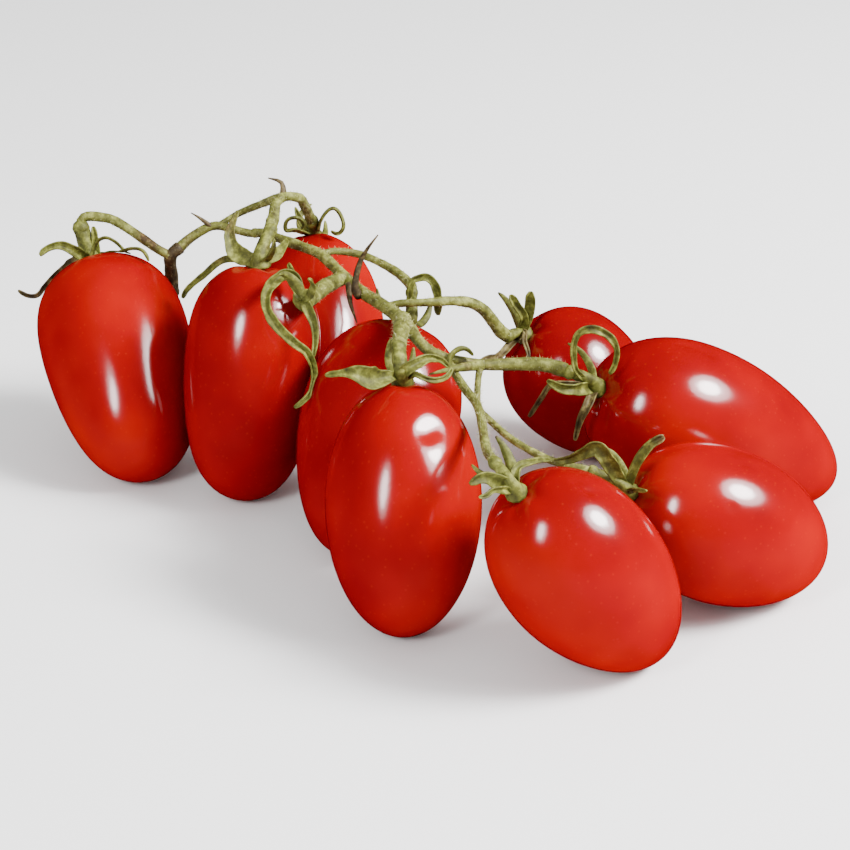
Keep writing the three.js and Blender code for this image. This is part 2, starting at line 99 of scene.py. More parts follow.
# Sepals out of view: bearing round the stalk, length, first lift, how far they curl.
SEPALS = [
    [(80, 13, 10, 70)],
    [(85, 13, 20, 110), (300, 9, 15, 70)],
    [(75, 12, 15, 80), (150, 13, 25, 150), (235, 10, 10, 50)],
    [(60, 12, 20, 90), (120, 12, 15, 60), (200, 11, 10, 50)],
    [(75, 12, 12, 80), (120, 12, 20, 100)],
    [(80, 12, 15, 70), (130, 11, 12, 50)],
    [(75, 12, 15, 80), (125, 12, 20, 70)],
    [(80, 12, 15, 70), (130, 11, 12, 60)],
    [(80, 12, 25, 60)],
]
BACK_SEPAL_WIDTHS = (2, 3.2, 2.4, 0.8)
SEPAL_STEPS = 5
SEPAL_THICKNESS = 0.4
SEPAL_ROLLS = (0.9, 1.6)
SEPAL_TWIST = 35
BLADE_COLUMNS = 8
SEPAL_CLEARANCE = 0.45
STALK_ROOM = 6

# Sepals in view: where the flat side looks (None for one that curls edge-on), widths along it from
# its foot, and the places along it after its foot.
FRONT = Vector((0, -0.9, 0.45))
ABOVE = Vector((0, -0.5, 0.85))
SHAPED_SEPALS = [
    [
        (FRONT, (2.6, 3.4, 3.6, 3.2, 2.6), [(-84.3, 3, 45.1), (-86.9, 2, 46.8), (-89.6, 1, 46.7),
         (-92, 0, 45.3)]),
        (None, (2.4, 2.2, 1.8, 1.5), [(-80, 4, 43.6), (-78.8, 4, 47), (-76.4, 3, 48.7), (-73.9, 2, 47.8),
         (-72.2, 1, 46.4), (-71.2, 0, 45)]),
        (None, (2.2, 2, 1.8, 1.5), [(-77.8, 4, 44), (-75.5, 2, 44.4), (-72.3, 0, 46.4), (-69.5, -1, 47.5),
         (-67.2, -2, 47.4), (-65.6, -3, 45.2)]),
        (FRONT, (2.2, 2, 1.8, 1.5), [(-84.2, 11, 40.5), (-89.8, 16, 35.5), (-95.2, 18, 29.8),
         (-97.2, 18, 27.5), (-99.6, 18, 27.4), (-102, 18, 28.8)]),
        (FRONT, (2.6, 2.6, 2), [(-80.1, 9, 45.8), (-80.5, 10, 49)]),
    ],
    [
        (FRONT, (3, 4.2, 4.4, 3, 1.8, 1.2), [(-40.5, -20.5, 53), (-43.5, -18.5, 54), (-44.8, -16, 57),
         (-44, -14, 59.5), (-43, -12, 61.5)]),
        (FRONT, (2, 1.8, 1.6, 1.4), [(-46, -16, 51), (-51.5, -13.5, 46), (-55.5, -12, 42),
          (-57, -12, 39.5)]),
        (FRONT, (3, 3.4, 2.4, 1.4), [(-34.5, -18.5, 53), (-33, -15, 53.5), (-32, -11, 54)]),
    ],
    [
        (None, (2.4, 2, 1.8, 1.8, 1.6), [(-26, 16, 46), (-25.4, 13, 48.9), (-23.8, 13, 51.5),
         (-22.1, 13, 52.3), (-20.7, 13, 50.5), (-20, 12, 48.3), (-21.2, 12, 46.5), (-23, 12, 47)]),
        (None, (2.6, 2.4, 2, 1.8), [(-31, 8, 49), (-33, 3, 51), (-32.5, 1, 54), (-30.5, 1, 54.5),
         (-29, 2, 53), (-29.5, 3, 51)]),
    ],
    [
        (FRONT, (1.4, 1.4, 1.6, 2.4, 2.8, 2.6), [(-3.2, -30, 50.5), (-1.5, -29.5, 52), (0.7, -29.5, 52.2),
         (2.5, -29.5, 50), (3.2, -30, 46.5), (3, -31, 43.5)]),
    ],
    [
        (FRONT, (1.6, 1.6, 2.2, 5, 5.6, 4, 1.6, 1.4), [(-6.6, -75, 49.4), (-9.2, -77, 49.8),
         (-11.5, -79, 50.9), (-13.9, -80, 52.3), (-15.9, -80, 52.5), (-18, -80, 52.3), (-20.2, -80, 52)]),
        (FRONT, (2.2, 3, 3.4, 3, 2, 1.6), [(-4, -75, 50.8), (-1.8, -74, 51.7), (0.6, -72, 52),
         (3.3, -70, 50.7), (5, -70, 49)]),
        (FRONT, (1.8, 1.6, 1.5, 1.5), [(-2.2, -76, 50.4), (0, -76.5, 49.7), (2, -76, 49), (4.3, -74, 48.8),
         (5.6, -72, 49.9)]),
    ],
    [
        (FRONT, (3, 3.6, 3, 2), [(12.3, -112, 46), (10, -113, 46.4), (8.3, -114, 45.6)]),
        (FRONT, (2, 2, 1.6, 1.4), [(13, -115.5, 45.2), (11.4, -117.5, 45.1), (10, -118.5, 45.3)]),
        (ABOVE, (2.2, 2.2, 1.8, 1.4), [(17.5, -107, 45), (20.7, -103.5, 44.6), (24.6, -99.5, 43)]),
    ],
    [
        (FRONT, (2.5, 3.4, 4, 4, 3, 1.6), [(37.5, -90, 36.5), (35.5, -91.5, 40.3), (34, -92, 42),
         (31.5, -91, 40.3), (28.8, -89, 37.8), (26, -88, 36.8)]),
        (FRONT, (2, 2.2, 2.6, 3), [(42.5, -88.5, 36.2), (45, -88.5, 40.5), (48, -88, 42.3)]),
        (FRONT, (1.6, 1.5, 1.4), [(42, -93.5, 33.2), (44, -97, 34.8)]),
    ],
    [
        (FRONT, (2, 1.4, 1.4, 1.6, 2, 2, 1.6, 1.4), [(32.5, -58, 42.3), (31.7, -58, 45.6),
         (31.6, -58, 48.6), (32.4, -58, 51.2), (34.5, -58, 52.3), (36.8, -58, 52), (39.5, -57.5, 50),
         (40.9, -57.5, 47), (40.5, -57.5, 43.5), (39.5, -57.5, 41.5)]),
        (FRONT, (2.6, 2.8, 2.2, 1.4), [(35, -59, 35), (33.5, -59.5, 31.5), (32.5, -59.5, 26.5)]),
        (FRONT, (1.6, 1.5, 1.5), [(31, -58.5, 39.7), (27, -58, 39.2), (25, -57, 35.6), (22.5, -56, 30.5)]),
        (FRONT, (2.6, 3.4, 3, 2), [(32, -60, 39.2), (29, -61, 40), (26, -60, 41.3)]),
    ],
    [
        (FRONT, (2.4, 2.8, 2.8, 2.6), [(23, -17.5, 37), (21.1, -18, 40.2), (19.6, -18, 43)]),
        (FRONT, (2.6, 3, 3, 3), [(24, -17, 37), (24.6, -17, 40), (24.6, -17, 43.5)]),
        (FRONT, (1.6, 1.4, 1.4), [(23.3, -19, 34), (23, -21.5, 33), (23.7, -23.5, 31.3), (24, -25, 30)]),
        (FRONT, (2.4, 2.4, 2, 1.4), [(20, -21, 32), (18.1, -24, 31), (16.6, -26, 30.7), (14.9, -28, 31.5),
         (12.8, -30, 32)]),
    ],
]

# The vine's stems, with their radii from start to end.
VINE_STEMS = [
    ([(-62.5, 12, 31), (-62.2, 10, 34), (-61.9, 7.5, 38.6), (-61.3, 4.5, 43.5),
      (-59.1, 5.5, 45.4)], 1.6, 1.5),
    ([(-61.3, 4.5, 43.5), (-59.1, 5.5, 45.4), (-56.8, 7, 47.1), (-53.2, 8.5, 48.9), (-50.1, 9, 49.5),
      (-45.7, 8, 48.8), (-42.2, 7, 48.4), (-38.5, 6, 48.8)], 1.3, 0.9),
    ([(-41, 6.8, 48.5), (-38.5, 6, 48.8), (-36, 2, 49.5), (-29.5, -4, 49.5), (-24.5, -8, 49),
      (-19.5, -14, 46.7), (-14, -23, 45.5), (-9, -34, 47), (-5, -46, 49), (-3, -53, 49.5)], 1.1, 1.65),
    ([(-5, -46, 49), (-3, -53, 49.5), (0, -57, 47.5), (4.5, -58, 45.5), (12, -56, 43)], 1.3, 1.2),
    ([(-61.3, 4.5, 43.5), (-64.5, 5.5, 44.9), (-68.9, 7.5, 47.2), (-75.1, 10, 50.4), (-78.7, 10.6, 51.2),
      (-81.7, 10.8, 51.3), (-83.3, 10.5, 50.6), (-83.5, 10.2, 49.3)], 1.1, 1.2),
    ([(-50.1, 9, 49.5), (-45, 11, 52), (-39, 4, 57), (-33, -4.5, 62), (-29.5, -1.5, 60.5), (-28.8, 4, 57),
      (-28.3, 10, 52.6), (-28, 13.7, 49.4)], 0.75, 1.35),
    ([(-33, -4.5, 62), (-34.5, -7, 61.5), (-35, -11, 59.5), (-35.4, -14, 58.1)], 1.1, 1.5),
    ([(-24.5, -8, 49), (-21, -6, 49), (-14.5, -5, 47.5), (-7.5, -11.5, 46.5), (-3.5, -20, 46.6),
      (-3, -24.3, 46.6)], 0.75, 1.3),
    ([(-5, -46, 49), (-5, -58, 52.5), (-5.4, -68.2, 53.3)], 1.9, 1.6),
    ([(-9, -34, 47), (-5.6, -34.5, 48), (-2, -34.3, 48.1), (1.8, -33, 47.7), (5.6, -31, 47.1),
      (10.2, -28, 45.3), (13.2, -26, 42.9), (15.4, -24.5, 39.5), (17.3, -23, 36.1),
      (18.4, -22, 34.7)], 0.75, 1.6),
    ([(12, -56, 43), (19, -54.5, 42.5), (26, -55, 42.5), (30.3, -56.3, 41.9)], 1.2, 1.6),
    ([(4.5, -58, 45.5), (6.5, -62, 43.7), (8.5, -68, 43), (11, -76, 42.5), (12, -96, 44),
      (13.3, -104.8, 45.5)], 0.9, 1),
    ([(12, -56, 43), (11.3, -60, 41.5), (11.2, -67, 38.6), (13, -70.5, 37.6), (18, -79, 36.8),
      (25.5, -85.3, 35.5), (33.2, -87.4, 34.2)], 0.7, 0.8),
]

# Shoots that run out to a thin tip.
VINE_TIPS = [
    ([(-51.5, 8.7, 49.2), (-54, 8, 51.7), (-56.3, 7.8, 53.3)], 0.8),
    ([(-33, -4.5, 62), (-33.5, -3, 65), (-36.6, -2.8, 66)], 0.9),
    ([(-15, -24, 45.3), (-15.9, -24.5, 47), (-15.7, -24, 49.8), (-14.7, -23, 53.2), (-12.9, -23, 56.6),
      (-10.6, -23, 59.8)], 1.1),
    ([(-17.5, -19, 46), (-17.1, -24, 43.8), (-16.4, -27, 42.8), (-15.4, -30, 41.2)], 0.9),
    ([(12, -56, 43), (6.3, -63, 45.5), (1, -70, 47.5)], 1.3),
]

# What has dried brown: rows of the two lists above, and sepals in view by fruit number.
DRY_STEMS = (0,)
DRY_TIPS = (0, 1, 2, 3)
DRY_SEPALS = {1: (3,), 8: (1, 2), 9: (2, 3)}

EMPTY_CALYX = dict(
    stalk=[(-18.5, -15.5, 46.5), (-20.6, -18, 46.5), (-22.8, -24, 47.5), (-25, -30, 47.9), (-27, -36, 49.5)],
    facing=(-0.55, -0.6, 0.55),
    back=[(20, 9, 20, 60), (100, 10, 30, 90)],
    shaped=[
        (FRONT, (3, 3.4, 3, 2.8, 3.2, 2.6, 2.4, 2), [(-30, -32.5, 54), (-33.7, -36, 53.5), (-35, -41, 51.5),
         (-33, -46, 48.5), (-28.8, -48.5, 44.9), (-25.8, -48, 42), (-24.4, -47.5, 37.5),
         (-25, -50, 33.8), (-27.3, -54, 32.8), (-28.5, -55, 32.3)]),
        (FRONT, (1.8, 1.5), [(-28.7, -33, 53), (-30.6, -28, 55)]),
        (FRONT, (2.5, 3, 2.2, 1.4), [(-24.5, -40, 46), (-24, -42, 42.6), (-24.5, -44.5, 39.5)]),
    ],
)

# Short hairs on the stems: how close, how long and how thick they are.
HAIRS_PER_MM = 7
HAIR_LENGTHS = (0.5, 1.2)
HAIR_RADIUS = 0.05

# A leaf curled up in the fork where the right-hand stems part.
FORK_LEAF_FOOT = (9, -58.5, 43.5)
FORK_LEAF = (None, (2.5, 3, 2.6, 1.6), [(6, -60.5, 45), (5.3, -61, 46.4), (6.5, -60, 47.8), (8.5, -59, 48),
 (10.2, -58, 46.2)])


def place(point):
    """A point of the lists above, in the frame's metres."""
    return (Vector(point) - TRUSS_MIDDLE) * MM


def mesh_object(name, bm):
    mesh = bpy.data.meshes.new(name)
    bmesh.ops.recalc_face_normals(bm, faces=bm.faces)
    bm.to_mesh(mesh)
    bm.free()
    for polygon in mesh.polygons:
        polygon.use_smooth = True
    piece = bpy.data.objects.new(name, mesh)
    bpy.context.scene.collection.objects.link(piece)
    return piece


def finish_piece(piece, material, slot, *nodes):
    piece.data.materials.append(material)
    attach(piece, "root")
    if nodes:
        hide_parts(*nodes)
    return piece


# Routes and rods

ROD_SIDES = 10
CURVE_STEPS = 12


def smooth_route(points, steps):
    """Evenly spaced points along a smooth curve through the given ones."""
    ends = [points[0] * 2 - points[1], *points, points[-1] * 2 - points[-2]]
    dense = []
    for p0, p1, p2, p3 in zip(ends, ends[1:], ends[2:], ends[3:]):
        for k in range(CURVE_STEPS):
            t = k / CURVE_STEPS
            dense.append(0.5 * (2 * p1 + (p2 - p0) * t + (2 * p0 - 5 * p1 + 4 * p2 - p3) * t * t
                                + (3 * p1 - p0 - 3 * p2 + p3) * t ** 3))
    dense.append(points[-1].copy())
    lengths = [0.0]
    for a, b in zip(dense, dense[1:]):
        lengths.append(lengths[-1] + (b - a).length)
    even = []
    k = 0
    for step in range(steps + 1):
        target = lengths[-1] * step / steps
        while k < len(dense) - 2 and lengths[k + 1] < target:
            k += 1
        span = max(lengths[k + 1] - lengths[k], 1e-9)
        even.append(dense[k].lerp(dense[k + 1], min((target - lengths[k]) / span, 1.0)))
    return even


def route_frames(centres, across=None):
    """At each point of a route: its tangent and a direction square to it that doesn't twist."""
    frames = []
    side = None
    for k, centre in enumerate(centres):
        tangent = (centres[min(k + 1, len(centres) - 1)] - centres[max(k - 1, 0)]).normalized()
        if across is not None:
            side = across
        elif side is None:
            side = tangent.orthogonal()
        side = (side - tangent * side.dot(tangent)).normalized()
        frames.append((tangent, side.copy()))
    return frames


def bent_rod(bm, points, radius, step_mm=1.0):
    """A round rod along a route. radius is a function of the share of the length, in millimetres."""
    rough = sum((b - a).length for a, b in zip(points, points[1:]))
    steps = max(6, int(rough / MM / step_mm))
    centres = smooth_route(points, steps)
    frames = route_frames(centres)
    ring = bmesh.ops.create_circle(bm, cap_ends=False, segments=ROD_SIDES, radius=1)["verts"]
    first_edges = list({edge for vert in ring for edge in vert.link_edges})
    edges = first_edges
    rod = list(ring)
    for _step in range(steps):
        made = bmesh.ops.extrude_edge_only(bm, edges=edges)["geom"]
        ring = [part for part in made if isinstance(part, bmesh.types.BMVert)]
        edges = [part for part in made if isinstance(part, bmesh.types.BMEdge)
                 and part.verts[0] in ring and part.verts[1] in ring]
        bmesh.ops.translate(bm, verts=ring, vec=(0, 0, 1))
        rod += ring
    for rim in (first_edges, edges):
        bmesh.ops.contextual_create(bm, geom=rim)
    for vert in rod:
        k = int(round(vert.co.z))
        along = k / steps
        tangent, side = frames[k]
        other = tangent.cross(side)
        swell = 1 + 0.1 * noise.noise(centres[k] / MM * 0.35) + 0.05 * noise.noise(centres[k] / MM * 1.3)
        angle = math.atan2(vert.co.y, vert.co.x)
        ridge = 1 + 0.05 * math.cos(3 * angle + 9 * along)
        reach = radius(along) * MM * swell * ridge
        vert.co = centres[k] + (side * math.cos(angle) + other * math.sin(angle)) * reach


def fuzz(bm, points, radius, seed):
    """Short hairs that stand out all along a rod. radius is a function of the share of the length."""
    rng = random.Random(seed)
    rough = sum((b - a).length for a, b in zip(points, points[1:]))
    steps = int(rough / MM * HAIRS_PER_MM)
    centres = smooth_route(points, steps)
    for k, (centre, (tangent, side)) in enumerate(zip(centres, route_frames(centres))):
        out = Quaternion(tangent, rng.uniform(0, math.tau)) @ side
        lean = (out + tangent * rng.uniform(-0.5, 0.5)).normalized()
        reach = radius(k / steps) * MM
        length = rng.uniform(*HAIR_LENGTHS) * MM
        spot = Matrix.Translation(centre + out * reach * 0.8 + lean * length / 2)
        spot @= lean.to_track_quat("Z", "Y").to_matrix().to_4x4()
        bmesh.ops.create_cone(bm, cap_ends=True, segments=3, radius1=HAIR_RADIUS * MM, radius2=0,
                              depth=length, matrix=spot)


def knob(bm, point, radius):
    """A small round swelling."""
    made = bmesh.ops.create_icosphere(bm, subdivisions=2, radius=radius * MM)
    bmesh.ops.translate(bm, verts=made["verts"], vec=point)


# Fruits

def stem_direction(fruit):
    heading = math.radians(fruit["heading"])
    dip = math.radians(fruit["dip"])
    return Vector((-math.cos(dip) * math.cos(heading), -math.cos(dip) * math.sin(heading), math.sin(dip)))


def fruit_profile(fruit, along):
    fullness = 1 + fruit["fuller"] * along + fruit["square"] * along * along
    return math.sqrt(max(1 - along * along, 0)) * fullness


def widest_share(fruit):
    return max(fruit_profile(fruit, k / 20) for k in range(-19, 20))


def fruit_turn(fruit):
    """The fruit's own axes: z towards the stem."""
    upward = stem_direction(fruit)
    sideways = UP.cross(upward).normalized()
    third = upward.cross(sideways)
    return Matrix((sideways, third, upward)).transposed()


def fruit_mesh(index):
    fruit = FRUITS[index]
    widest = widest_share(fruit)
    half_length = fruit["length"] / 2
    half_width = fruit["width"] / 2
    bm = bmesh.new()
    chain = []
    for ring in range(FRUIT_RINGS + 1):
        along = -math.cos(math.pi * ring / FRUIT_RINGS)
        radius = half_width * fruit_profile(fruit, along) / widest
        near_stem = math.exp(-(radius / DIMPLE_RADIUS) ** 2) if along > 0 else 0
        on_axis = ring in (0, FRUIT_RINGS)
        height = half_length * along - DIMPLE_DEPTH * near_stem
        chain.append(bm.verts.new((0 if on_axis else radius, 0, height)))
    edges = [bm.edges.new(pair) for pair in zip(chain, chain[1:])]
    bmesh.ops.spin(bm, geom=chain + edges, cent=(0, 0, 0), axis=(0, 0, 1), angle=math.tau,
                   steps=FRUIT_SEGMENTS, use_merge=True)
    bmesh.ops.remove_doubles(bm, verts=bm.verts, dist=1e-4)
    bmesh.ops.recalc_face_normals(bm, faces=bm.faces)
    rng = random.Random(SEED + index)
    phase = rng.uniform(0, math.tau)
    for vert in bm.verts:
        around = math.atan2(vert.co.y, vert.co.x)
        share = vert.co.z / half_length
        radius = math.hypot(vert.co.x, vert.co.y)
        lobes = 0.008 * math.cos(2 * around + phase) + 0.006 * math.cos(3 * around - phase)
        crease = -0.02 * math.exp(-((radius - 5) / 3.5) ** 2) * max(share, 0) * math.cos(5 * around + phase)
        soft = 0.006 * noise.noise(vert.co * 0.07 + Vector((index * 7.0, 0, 0)))
        grow = 1 + (lobes - LOBE_ROOM) * (1 - share * share) + soft
        vert.co.x *= grow
        vert.co.y *= grow
        vert.co.z += crease * 12
    bmesh.ops.rotate(bm, verts=bm.verts, cent=(0, 0, 0), matrix=fruit_turn(fruit))
    bmesh.ops.scale(bm, verts=bm.verts, vec=(MM, MM, MM))
    lowest = min(vert.co.z for vert in bm.verts)
    middle = place((fruit["x"], fruit["y"], 0)) + UP * (-lowest - REST_DEPTH * MM)
    bmesh.ops.translate(bm, verts=bm.verts, vec=middle)
    bm.normal_update()
    for start, end, half_width, depth in DENTS.get(index + 1, ()):
        first = place(start)
        run = place(end) - first
        for vert in bm.verts:
            share = min(max((vert.co - first).dot(run) / run.length_squared, 0), 1)
            gap = (vert.co - first - run * share).length / (half_width * MM)
            vert.co -= vert.normal * depth * MM * math.exp(-gap * gap)
    for vert in bm.verts:
        vert.co.z = max(vert.co.z, 0)
    return bm, middle


# Calyxes

def clear_of_fruits(point, resting):
    """The point, or where it lies is inside a fruit, the nearest place beside it."""
    for fruit, (middle, turn, widest) in zip(FRUITS, resting):
        local = turn.transposed() @ (point - middle) / MM
        share = local.z / (fruit["length"] / 2)
        beside = math.hypot(local.x, local.y)
        if abs(share) > 0.98 or beside < STALK_ROOM:
            continue
        reach = fruit["width"] / 2 * fruit_profile(fruit, share) / widest + SEPAL_CLEARANCE
        if beside < reach:
            local.x *= reach / beside
            local.y *= reach / beside
            point = middle + turn @ local * MM
    return point


def around_stalk(facing):
    right = (Vector((1, 0, 0)) - facing * facing.x).normalized()
    return right, facing.cross(right)


def hidden_sepal(base, facing, bearing, length, lift, curl):
    """A sepal that runs out from the stalk and curls up and back to it."""
    right, back = around_stalk(facing)
    outward = right * math.cos(math.radians(bearing)) + back * math.sin(math.radians(bearing))
    points = [base.copy()]
    for step in range(SEPAL_STEPS):
        turn = math.radians(lift + curl * ((step + 0.5) / SEPAL_STEPS) ** 1.5)
        points.append(points[-1] + (outward * math.cos(turn) + facing * math.sin(turn))
                      * (length * MM / SEPAL_STEPS))
    return dict(points=points, widths=BACK_SEPAL_WIDTHS, across=facing.cross(outward), looks=None)


def shaped_sepal(foot, looks, widths, points):
    across = FRONT if looks is None else None
    return dict(points=[foot, *[place(p) for p in points]], widths=widths, across=across, looks=looks)


def share_of(values, along):
    """The value at a share of the length, between evenly spaced ones."""
    k = min(int(along * (len(values) - 1)), len(values) - 2)
    return values[k] + (values[k + 1] - values[k]) * (along * (len(values) - 1) - k)


def sepal_blade(bm, leaf, roll, twist, seed):
    """A thin leaf along a route, rolled up at its sides."""
    length = sum((b - a).length for a, b in zip(leaf["points"], leaf["points"][1:])) / MM
    rows = max(12, int(length * 1.6))
    centres = smooth_route(leaf["points"], rows)
    frames = route_frames(centres, leaf["across"])
    verts = bmesh.ops.create_grid(bm, x_segments=BLADE_COLUMNS, y_segments=rows, size=1)["verts"]
    offset = Vector((seed * 3.7, 0, 0))
    for vert in verts:
        row = min(int(round((vert.co.y + 1) / 2 * rows)), rows)
        along = row / rows
        side_share = vert.co.x
        centre = centres[row]
        tangent, wide = frames[row]
        if leaf["looks"] is not None:
            wide = tangent.cross(leaf["looks"]).normalized()
        wide = Quaternion(tangent, math.radians(twist) * along) @ wide
        thick = wide.cross(tangent)
        end = min(1, (1 - along) * rows / 2 + 0.3)
        half = share_of(leaf["widths"], along) / 2 * MM * end
        bend = roll * (0.6 + 0.8 * along) + 0.001
        ripple = 0.22 * noise.noise(centre / MM * 0.45 + offset)
        veins = 0.16 * math.exp(-(side_share / 0.16) ** 2) + 0.05 * math.cos(side_share * 12 + along * 30)
        reach = math.sin(side_share * bend) / bend * half * (1 + ripple)
        rise = (1 - math.cos(side_share * bend)) / bend * half + ripple * side_share * half * 0.7
        vert.co = centre + wide * reach + thick * (rise - veins * MM)


def calyx_base(fruit, middle):
    return middle + stem_direction(fruit) * ((fruit["length"] / 2 + 0.4) * MM)


def leafy(name, leaves, material, slot, *nodes):
    """Sepals as thin leaves with a real thickness, outside the fruits."""
    bm = bmesh.new()
    rng = random.Random(name)
    for leaf in leaves:
        roll = rng.uniform(*SEPAL_ROLLS)
        twist = rng.uniform(-SEPAL_TWIST, SEPAL_TWIST)
        sepal_blade(bm, leaf, roll, twist, rng.random() * 10)
    for vert in bm.verts:
        vert.co = clear_of_fruits(vert.co, resting_fruits)
    piece = mesh_object(name, bm)
    thick = piece.modifiers.new("thickness", "SOLIDIFY")
    thick.thickness = SEPAL_THICKNESS * MM
    thick.offset = 0
    smooth = piece.modifiers.new("smooth", "SUBSURF")
    smooth.levels = 1
    smooth.render_levels = 1
    return finish_piece(piece, material, slot, *nodes)


# Materials

def shader(name):
    material = bpy.data.materials.new(name)
    material.use_nodes = True
    tree = material.node_tree
    return material, tree, tree.nodes["Principled BSDF"]


def node(tree, kind, **inputs):
    made = tree.nodes.new(kind)
    for key, value in inputs.items():
        made.inputs[key.replace("_", " ")].default_value = value
    return made


def ramp(tree, source, stops):
    made = tree.nodes.new("ShaderNodeValToRGB")
    elements = made.color_ramp.elements
    while len(elements) < len(stops):
        elements.new(0.5)
    for element, (position, colour) in zip(elements, stops):
        element.position = position
        element.color = (*colour, 1)
    tree.links.new(source, made.inputs["Fac"])
    return made.outputs["Color"]


def skin_material():
    material, tree, bsdf = shader("tomato_skin")
    coords = tree.nodes.new("ShaderNodeTexCoord").outputs["Object"]
    broad = node(tree, "ShaderNodeTexNoise", Scale=30.0, Detail=3.0)
    tree.links.new(coords, broad.inputs["Vector"])
    colour = ramp(tree, broad.outputs["Fac"], [(0.3, (0.16, 0, 0.002)), (0.52, (0.25, 0, 0.0015)),
                                               (0.75, (0.35, 0.004, 0.001))])
    specks = node(tree, "ShaderNodeTexVoronoi", Scale=650.0)
    tree.links.new(coords, specks.inputs["Vector"])
    dots = ramp(tree, specks.outputs["Distance"], [(0.04, (0.14, 0.14, 0.14)), (0.22, (0, 0, 0))])
    mix = tree.nodes.new("ShaderNodeMix")
    mix.data_type = "RGBA"
    mix.inputs["B"].default_value = (0.6, 0.05, 0.01, 1)
    tree.links.new(dots, mix.inputs["Factor"])
    tree.links.new(colour, mix.inputs["A"])
    tree.links.new(mix.outputs["Result"], bsdf.inputs["Base Color"])
    edge = tree.nodes.new("ShaderNodeLayerWeight")
    edge.inputs["Blend"].default_value = 0.5
    shine = ramp(tree, edge.outputs["Facing"], [(0.3, (0.62, 0.62, 0.62)), (0.6, (0.2, 0.2, 0.2)),
                                                (0.9, (0.03, 0.03, 0.03))])
    tree.links.new(shine, bsdf.inputs["Specular IOR Level"])
    bsdf.inputs["Roughness"].default_value = 0.14
    bsdf.inputs["IOR"].default_value = 1.5
    bsdf.inputs["Subsurface Weight"].default_value = 0.12
    bsdf.inputs["Subsurface Radius"].default_value = (0.004, 0.0004, 0.0002)
    bsdf.inputs["Subsurface Scale"].default_value = 1.0
    fine = node(tree, "ShaderNodeTexNoise", Scale=900.0, Detail=2.0)
    tree.links.new(coords, fine.inputs["Vector"])
    bump = node(tree, "ShaderNodeBump", Strength=0.08, Distance=0.0001)
    tree.links.new(fine.outputs["Fac"], bump.inputs["Height"])
    tree.links.new(bump.outputs["Normal"], bsdf.inputs["Normal"])
    return material


def green_material(name, fresh, dry, dryness):
    """Stem and leaf green with streaks, that turns dry and brown in places."""
    material, tree, bsdf = shader(name)
    coords = tree.nodes.new("ShaderNodeTexCoord").outputs["Object"]
    streaks = node(tree, "ShaderNodeTexNoise", Scale=420.0, Detail=5.0, Roughness=0.7)
    places = node(tree, "ShaderNodeTexNoise", Scale=55.0, Detail=4.0, Roughness=0.6)
    for texture in (streaks, places):
        tree.links.new(coords, texture.inputs["Vector"])
    living = ramp(tree, streaks.outputs["Fac"], fresh)
    dried = ramp(tree, streaks.outputs["Fac"], dry)
    share = ramp(tree, places.outputs["Fac"], [(0.62 - dryness, (0, 0, 0)), (0.72 - dryness, (1, 1, 1))])
    mix = tree.nodes.new("ShaderNodeMix")
    mix.data_type = "RGBA"
    tree.links.new(share, mix.inputs["Factor"])
    tree.links.new(living, mix.inputs["A"])
    tree.links.new(dried, mix.inputs["B"])
    tree.links.new(mix.outputs["Result"], bsdf.inputs["Base Color"])
    bsdf.inputs["Roughness"].default_value = 0.62
    bsdf.inputs["Specular IOR Level"].default_value = 0.3
    bsdf.inputs["Subsurface Weight"].default_value = 0.08
    bsdf.inputs["Subsurface Radius"].default_value = (0.001, 0.001, 0.0004)
    bsdf.inputs["Subsurface Scale"].default_value = 1.0
    bump = node(tree, "ShaderNodeBump", Strength=0.6, Distance=0.0003)
    tree.links.new(streaks.outputs["Fac"], bump.inputs["Height"])
    tree.links.new(bump.outputs["Normal"], bsdf.inputs["Normal"])
    return material


FRESH_GREEN = [(0.28, (0.022, 0.018, 0.003)), (0.5, (0.1, 0.105, 0.014)), (0.7, (0.28, 0.29, 0.06))]
PALE_GREEN = [(0.28, (0.03, 0.024, 0.004)), (0.5, (0.13, 0.135, 0.022)), (0.7, (0.34, 0.35, 0.09))]
DRY_BROWN = [(0.35, (0.016, 0.008, 0.002)), (0.5, (0.06, 0.032, 0.008)), (0.65, (0.2, 0.13, 0.04))]
LEAF_BROWN = [(0.28, (0.014, 0.009, 0.002)), (0.5, (0.065, 0.045, 0.012)), (0.72, (0.22, 0.18, 0.06))]
STEM_BROWN = [(0.28, (0.012, 0.006, 0.002)), (0.5, (0.05, 0.032, 0.011)), (0.72, (0.2, 0.15, 0.06))]
skin = skin_material()
calyx_green = green_material("calyx_green", FRESH_GREEN, DRY_BROWN, 0.05)
vine_green = green_material("vine_green", PALE_GREEN, DRY_BROWN, 0.06)
vine_brown = green_material("vine_brown", STEM_BROWN, DRY_BROWN, 0.06)
calyx_brown = green_material("calyx_brown", LEAF_BROWN, DRY_BROWN, 0.06)
fuzz_white, _fuzz_tree, fuzz_bsdf = shader("fuzz_white")
fuzz_bsdf.inputs["Base Color"].default_value = (0.5, 0.48, 0.24, 1)
fuzz_bsdf.inputs["Roughness"].default_value = 0.7

# The fruits and their calyxes

FOOT_SWELL = 1.1
KNUCKLE_RUN = 0.9
KNUCKLE_SWELL = 0.25

resting_fruits = []
for index, fruit in enumerate(FRUITS):
    fruit_bm, fruit_middle = fruit_mesh(index)
    body = mesh_object(f"tomato_{index + 1}_fruit", fruit_bm)
    finish_piece(body, skin, "tomato_skin", f"tomato_{index + 1}")
    resting_fruits.append((fruit_middle, fruit_turn(fruit), widest_share(fruit)))

